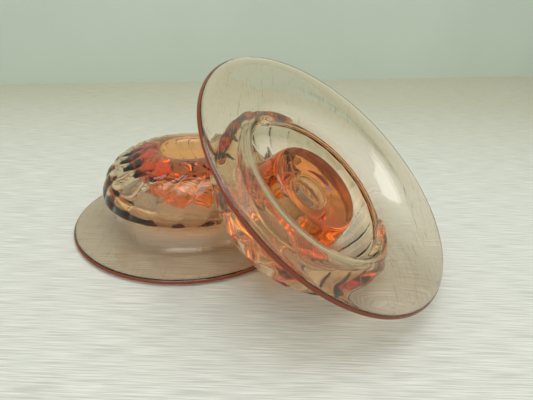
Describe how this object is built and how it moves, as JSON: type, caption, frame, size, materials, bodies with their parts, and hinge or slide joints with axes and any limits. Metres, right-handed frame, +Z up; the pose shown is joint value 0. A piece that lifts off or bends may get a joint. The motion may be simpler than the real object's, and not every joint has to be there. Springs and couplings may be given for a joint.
{
  "type": "depression glass candy dish",
  "caption": "Matching amber pressed-glass pieces with wide flat bases, ribbed mushroom heads and a socket, one standing and one leaning.",
  "frame": {"origin": "middle of the pair's footprint, on the table", "axes": "+Z up, +X along the pair from the standing piece to the leaning one, +Y away from the leaning piece's open underside"},
  "size_m": [0.1772, 0.1626, 0.0865],
  "materials": {
    "glass_standing": "clear amber-pink pressed glass, fire polished",
    "glass_leaning": "clear amber-pink pressed glass, fire polished"
  },
  "bodies": {
    "standing": {"standing_dish": "glass_standing"},
    "leaning": {"leaning_dish": "glass_leaning"}
  },
  "joints": [
    {"name": "lift_off", "type": "slide", "parent": "standing", "child": "leaning", "axis": [0.5425, -0.3114, 0.7802], "range_m": [0, 0.08]}
  ]
}
